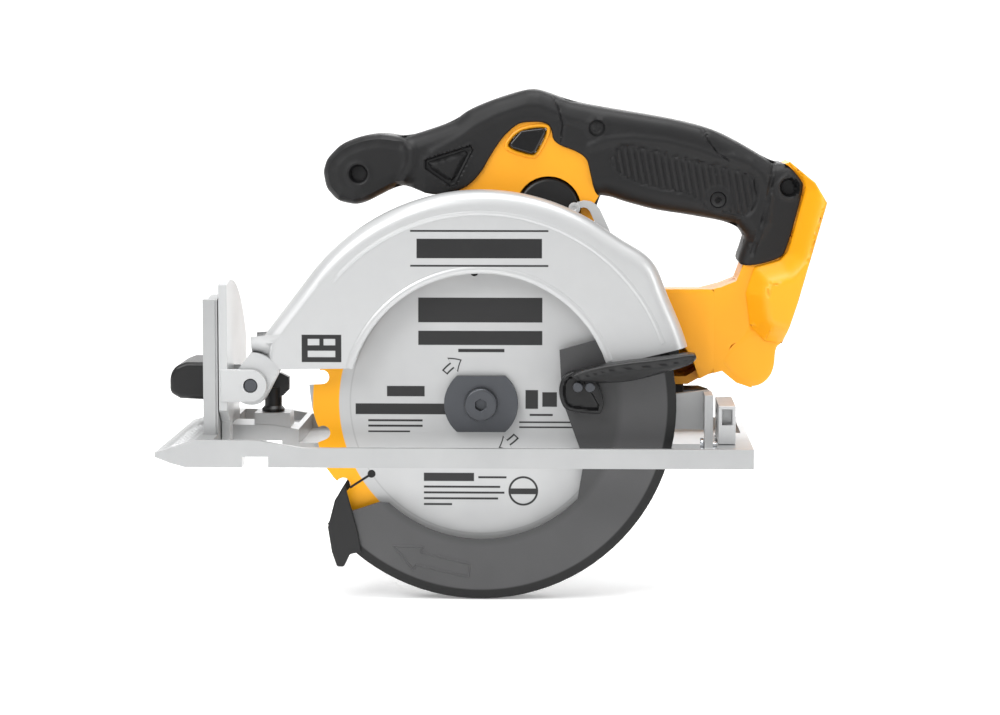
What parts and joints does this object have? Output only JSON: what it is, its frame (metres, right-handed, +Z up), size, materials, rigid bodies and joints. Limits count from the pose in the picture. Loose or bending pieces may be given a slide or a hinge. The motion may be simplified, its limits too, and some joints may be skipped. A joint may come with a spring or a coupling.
{
  "type": "circular saw",
  "caption": "Cordless circular saw with a blade-left layout: toothed blade, sprung lower guard, tilting and depth-adjusting shoe, geared motor and top handle with trigger.",
  "frame": {"origin": "on the sole of the shoe, at the middle of its width, straight under the blade axis", "axes": "+X to the rear of the saw, +Y to the motor side, +Z up"},
  "size_m": [0.3176, 0.1566, 0.2417],
  "materials": {
    "shoe_aluminium": "cast and machined aluminium, satin",
    "cast_silver": "silver-painted die casting, fine texture",
    "bright_steel": "zinc-plated steel",
    "dark_steel": "black-oxide steel",
    "blade_steel": "ground saw plate with a coated rim",
    "gear_steel": "machined steel",
    "copper": "wound copper",
    "magnet_iron": "sintered magnets in an iron ring",
    "guard_grey": "dark grey coated guard",
    "black_rubber": "soft overmoulded grip",
    "yellow_plastic": "moulded reinforced nylon",
    "black_plastic": "moulded black plastic"
  },
  "bodies": {
    "shoe": {"shoe": "shoe_aluminium", "bevel_quadrant": "shoe_aluminium", "rear_hinge_bracket": "cast_silver"},
    "fence_screw": {"fence_screw": "black_plastic"},
    "tilt_frame": {"front_bracket": "cast_silver", "bevel_bolt": "bright_steel", "depth_quadrant": "bright_steel", "depth_pivot_pin": "dark_steel", "front_hinge_pin": "bright_steel", "rear_hinge_pin": "bright_steel"},
    "bevel_knob": {"bevel_knob": "black_plastic"},
    "saw_body": {"upper_guard": "cast_silver", "gear_case": "cast_silver", "motor_housing": "yellow_plastic", "motor_end_cap": "black_plastic", "body_shell_left": "yellow_plastic", "body_shell_right": "yellow_plastic", "grip_cover_left": "black_rubber", "grip_cover_right": "black_rubber", "handle_screw_front": "dark_steel", "handle_screw_rear": "dark_steel", "handle_screw_lower": "dark_steel", "trigger_switch": "black_plastic", "terminal_block": "black_plastic", "depth_stud": "bright_steel", "blade_wrench": "dark_steel", "wrench_clip": "black_plastic", "front_spindle_bearing": "bright_steel", "rear_spindle_bearing": "bright_steel", "front_motor_bearing": "bright_steel", "rear_motor_bearing": "bright_steel", "magnet_ring": "magnet_iron", "brush_holder_upper": "black_plastic", "brush_holder_lower": "black_plastic"},
    "blade_spindle": {"blade": "blade_steel", "outer_flange": "dark_steel", "inner_flange": "dark_steel", "blade_screw": "dark_steel", "spindle": "gear_steel", "drive_gear": "gear_steel"},
    "armature": {"armature_shaft": "gear_steel", "armature_core": "copper", "cooling_fan": "black_plastic", "commutator": "copper"},
    "lower_guard": {"lower_guard": "guard_grey", "guard_toe_bumper": "black_plastic", "guard_lever": "black_plastic", "lever_rivet_1": "bright_steel", "lever_rivet_2": "bright_steel"},
    "trigger": {"trigger": "black_plastic"},
    "lock_off_button": {"lock_off_button": "black_plastic"},
    "spindle_lock_button": {"spindle_lock_button": "black_plastic"},
    "depth_lever": {"depth_lever": "black_plastic"}
  },
  "joints": [
    {"name": "bevel_tilt", "type": "hinge", "parent": "shoe", "child": "tilt_frame", "pos_m": [0, -0.03, 0.006], "axis": [1, 0, 0], "range_deg": [0, 50]},
    {"name": "depth_swing", "type": "hinge", "parent": "tilt_frame", "child": "saw_body", "pos_m": [-0.1085, -0.03, 0.0359], "axis": [0, -1, 0], "range_deg": [0, 28]},
    {"name": "bevel_knob_turn", "type": "hinge", "parent": "tilt_frame", "child": "bevel_knob", "pos_m": [-0.1286, 0.02505, 0.03297], "axis": [1, 0, 0], "range_deg": [-30, 30]},
    {"name": "fence_screw_turn", "type": "hinge", "parent": "shoe", "child": "fence_screw", "pos_m": [-0.103, 0.004, 0.0184], "axis": [0, 0, 1], "continuous": true},
    {"name": "depth_lever_turn", "type": "hinge", "parent": "saw_body", "child": "depth_lever", "pos_m": [0.06739, -0.01, 0.02976], "axis": [0, 1, 0], "range_deg": [-60, 0]},
    {"name": "blade_spin", "type": "hinge", "parent": "saw_body", "child": "blade_spindle", "pos_m": [0, -0.03, 0.0264], "axis": [0, 1, 0], "continuous": true},
    {"name": "motor_spin", "type": "hinge", "parent": "saw_body", "child": "armature", "pos_m": [0.0044, -0.03, 0.04709], "axis": [0, 1, 0], "continuous": true},
    {"name": "guard_swing", "type": "hinge", "parent": "saw_body", "child": "lower_guard", "pos_m": [0, -0.03, 0.0264], "axis": [0, -1, 0], "range_deg": [0, 120], "stiffness_Nm_per_rad": 0.12, "springref_deg": -34.38},
    {"name": "trigger_pull", "type": "hinge", "parent": "saw_body", "child": "trigger", "pos_m": [0.046, 0.006, 0.143], "axis": [0, 1, 0], "range_deg": [0, 9], "stiffness_Nm_per_rad": 0.6, "springref_deg": -8.59},
    {"name": "lock_off_slide", "type": "slide", "parent": "saw_body", "child": "lock_off_button", "axis": [0, 1, 0], "range_m": [-0.003, 0.003], "stiffness_N_per_m": 600},
    {"name": "spindle_lock_slide", "type": "slide", "parent": "saw_body", "child": "spindle_lock_button", "axis": [0, 0, -1], "range_m": [0, 0.003], "stiffness_N_per_m": 600, "springref_m": -0.001}
  ],
  "couplings": [
    {"joint": "motor_spin", "follows": "blade_spin", "ratio": -4.2222}
  ]
}
